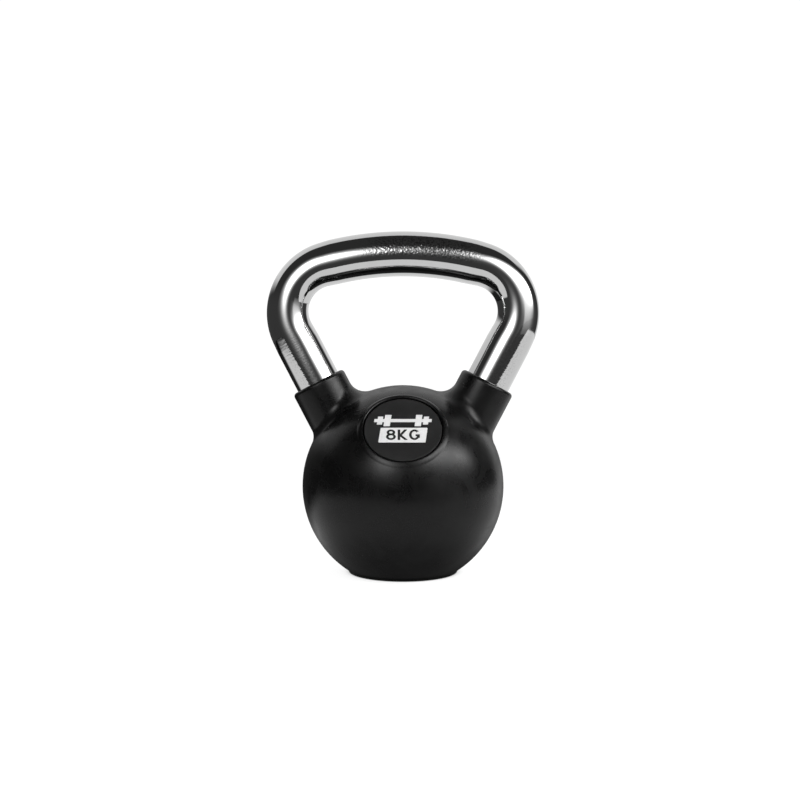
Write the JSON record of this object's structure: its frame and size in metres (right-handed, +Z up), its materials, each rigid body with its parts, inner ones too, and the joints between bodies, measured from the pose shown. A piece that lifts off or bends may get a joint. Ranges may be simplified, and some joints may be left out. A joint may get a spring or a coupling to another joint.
{
  "type": "kettlebell",
  "caption": "Rubber-coated cast-iron kettlebell with a bent chrome-plated steel handle, rubber collars round its legs and a round badge with the weight figure.",
  "frame": {"origin": "middle of the flat foot, on the floor", "axes": "+Z up, +X along the grip, and the badge faces -Y and up"},
  "size_m": [0.1778, 0.13, 0.22],
  "materials": {
    "chrome_bar": "bright chrome plate, faintly rippled along the bends",
    "cast_iron": "as cast, hidden under the rubber",
    "weld_steel": "rough weld metal, hidden under the rubber",
    "black_rubber": "satin moulded rubber with faint mottling",
    "adhesive": "clear adhesive, hidden behind the badge",
    "badge_plastic": "matte dark grey",
    "white_mark": "flat white print"
  },
  "bodies": {
    "root": {"handle_bar": "chrome_bar", "iron_core": "cast_iron", "left_leg_weld": "weld_steel", "right_leg_weld": "weld_steel", "rubber_coat": "black_rubber", "badge_adhesive": "adhesive", "badge_disc": "badge_plastic", "weight_plate": "white_mark", "badge_marks": "white_mark"}
  },
  "joints": []
}
